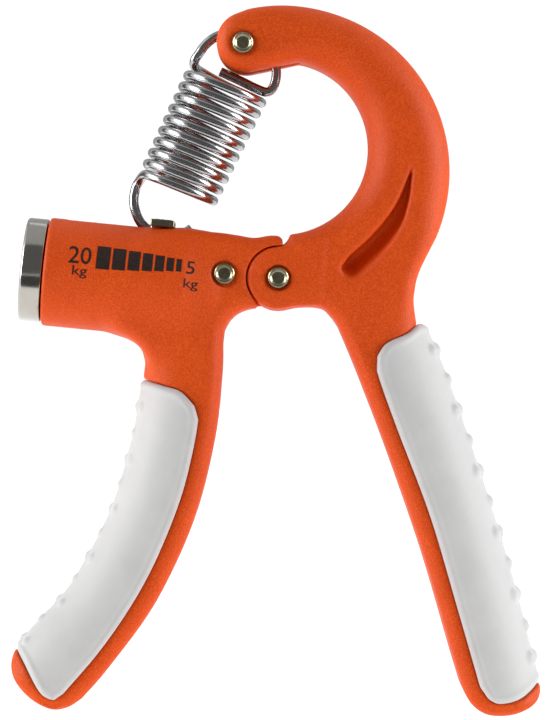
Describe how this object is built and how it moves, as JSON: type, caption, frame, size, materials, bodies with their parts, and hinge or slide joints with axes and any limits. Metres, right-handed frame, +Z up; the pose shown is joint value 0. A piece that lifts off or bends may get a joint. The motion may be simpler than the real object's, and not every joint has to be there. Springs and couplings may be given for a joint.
{
  "type": "hand grip strengthener",
  "caption": "Adjustable hand grip strengthener: two padded handles on a hinge pin, a coil spring from a sliding hook to the curved arm, and a knob that sets the force.",
  "frame": {"origin": "centre of the bounding box in X and Y, at the lowest point of the two leg ends", "axes": "+Z up from the leg ends to the curved arm, +X from the knob side to the straight handle's side, Y along the hinge pin, with the force scale on the -Y face"},
  "size_m": [0.1163, 0.0228, 0.1545],
  "materials": {
    "handle_plastic": "orange glass-filled plastic, fine matt grain",
    "grip_rubber": "pale grey thermoplastic rubber with small raised dots",
    "black_plastic": "black moulded plastic",
    "washer_nylon": "natural nylon",
    "chrome_cap": "polished plated steel",
    "spring_wire": "bright plated spring wire",
    "rivet_steel": "dull plated rivet",
    "zinc_steel": "zinc plated steel",
    "brass": "turned brass"
  },
  "bodies": {
    "left_handle": {"left_handle": "handle_plastic", "left_grip": "grip_rubber", "hinge_bush": "zinc_steel", "hinge_washer_front": "washer_nylon", "hinge_washer_back": "washer_nylon", "retaining_rivet": "rivet_steel", "thrust_washer": "zinc_steel", "barrel_plug": "black_plastic"},
    "right_handle": {"right_handle": "handle_plastic", "right_grip": "grip_rubber", "hinge_pin": "rivet_steel", "tip_pin": "rivet_steel"},
    "knob": {"knob_cap": "chrome_cap", "knob_core": "black_plastic", "adjusting_screw": "zinc_steel"},
    "slider": {"slider_block": "zinc_steel", "slider_nut": "brass"},
    "hook_bar": {"hook_bar": "zinc_steel"},
    "spring_lower": {"spring_lower": "spring_wire"},
    "spring_middle": {"spring_middle": "spring_wire"},
    "spring_upper": {"spring_upper": "spring_wire"}
  },
  "joints": [
    {"name": "handle_squeeze", "type": "hinge", "parent": "left_handle", "child": "right_handle", "pos_m": [0.00022, 0, 0.0953], "axis": [0, 1, 0], "range_deg": [0, 38], "stiffness_Nm_per_rad": 3.1, "springref_deg": -22.35},
    {"name": "knob_turn", "type": "hinge", "parent": "left_handle", "child": "knob", "pos_m": [-0.05028, 0, 0.097], "axis": [-0.9952, 0, 0.0976], "range_deg": [-3240, 180]},
    {"name": "slider_travel", "type": "slide", "parent": "left_handle", "child": "slider", "axis": [0.9952, 0, -0.0976], "range_m": [-0.01351, 0.00076]},
    {"name": "spring_swing_by_knob", "type": "hinge", "parent": "slider", "child": "hook_bar", "pos_m": [-0.02487, 0, 0.10717], "axis": [0, 1, 0], "range_deg": [-0.9, 15]},
    {"name": "spring_swing_by_squeeze", "type": "hinge", "parent": "hook_bar", "child": "spring_lower", "pos_m": [-0.02487, 0, 0.10717], "axis": [0, 1, 0], "range_deg": [0, 33.05]},
    {"name": "spring_stretch_by_squeeze", "type": "slide", "parent": "spring_lower", "child": "spring_middle", "axis": [0.3986, 0, 0.9171], "range_m": [0, 0.01752], "deforming": ["spring_lower", "spring_middle"]},
    {"name": "spring_stretch_by_knob", "type": "slide", "parent": "spring_middle", "child": "spring_upper", "axis": [0.3986, 0, 0.9171], "range_m": [-0.00034, 0.00585], "deforming": ["spring_upper"]}
  ],
  "couplings": [
    {"joint": "slider_travel", "follows": "knob_turn", "m_per_rad": 0.00023873},
    {"joint": "spring_swing_by_knob", "follows": "knob_turn", "ratio": -0.004623},
    {"joint": "spring_swing_by_squeeze", "follows": "handle_squeeze", "ratio": 0.8687},
    {"joint": "spring_stretch_by_squeeze", "follows": "handle_squeeze", "m_per_rad": 0.02638},
    {"joint": "spring_stretch_by_knob", "follows": "knob_turn", "m_per_rad": -0.00010321}
  ]
}
